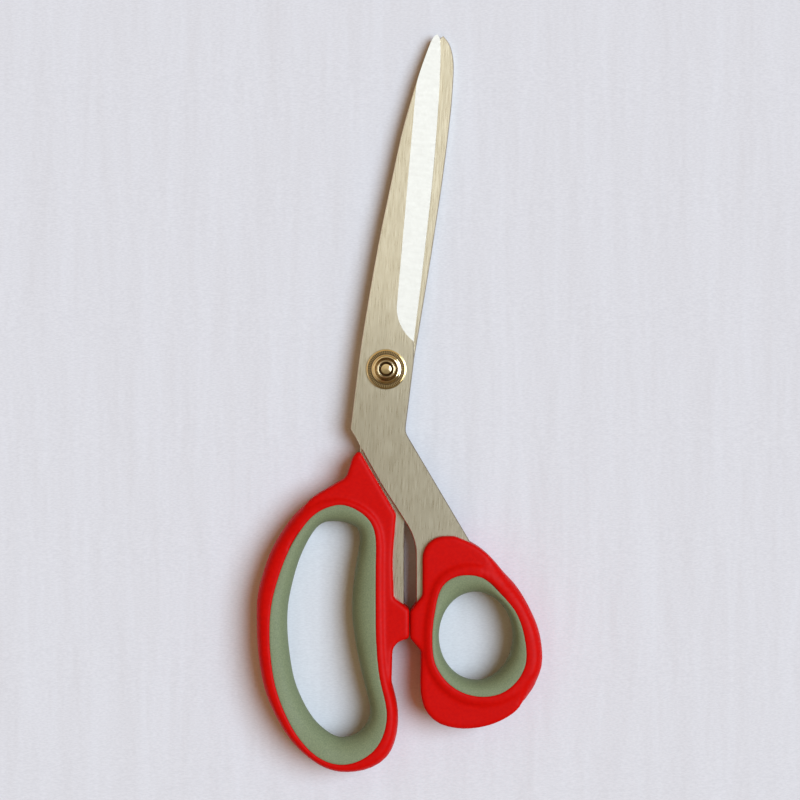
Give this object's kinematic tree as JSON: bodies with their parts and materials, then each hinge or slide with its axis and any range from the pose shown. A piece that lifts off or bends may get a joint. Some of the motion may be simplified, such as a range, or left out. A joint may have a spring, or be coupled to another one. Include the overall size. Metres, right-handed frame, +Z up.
{
  "type": "fabric shears",
  "caption": "Bent-handle fabric shears with steel blades, brass screw-and-nut pivot and red bows lined with soft grey-green grips",
  "frame": {"origin": "on the table, below the middle of the closed shears' outline", "axes": "+Y from the bows to the blade tips, +X towards the thumb bow, +Z up along the pivot's axis, towards its nut"},
  "size_m": [0.0926, 0.2392, 0.0131],
  "materials": {
    "blade_steel": "brushed along the blade, satin",
    "pivot_brass": "polished",
    "shell_red": "semi-gloss moulded",
    "grip_grey": "matte, finely speckled"
  },
  "bodies": {
    "finger_half": {"finger_blade": "blade_steel", "finger_shell": "shell_red", "finger_grip": "grip_grey", "pivot_screw": "pivot_brass", "serrated_washer": "pivot_brass", "pivot_nut": "pivot_brass"},
    "thumb_half": {"thumb_blade": "blade_steel", "thumb_shell": "shell_red", "thumb_grip": "grip_grey"}
  },
  "joints": [
    {"name": "blade_pivot", "type": "hinge", "parent": "finger_half", "child": "thumb_half", "pos_m": [-0.00431, 0.01085, 0.0065], "axis": [0, 0, 1], "range_deg": [0, 130]}
  ]
}
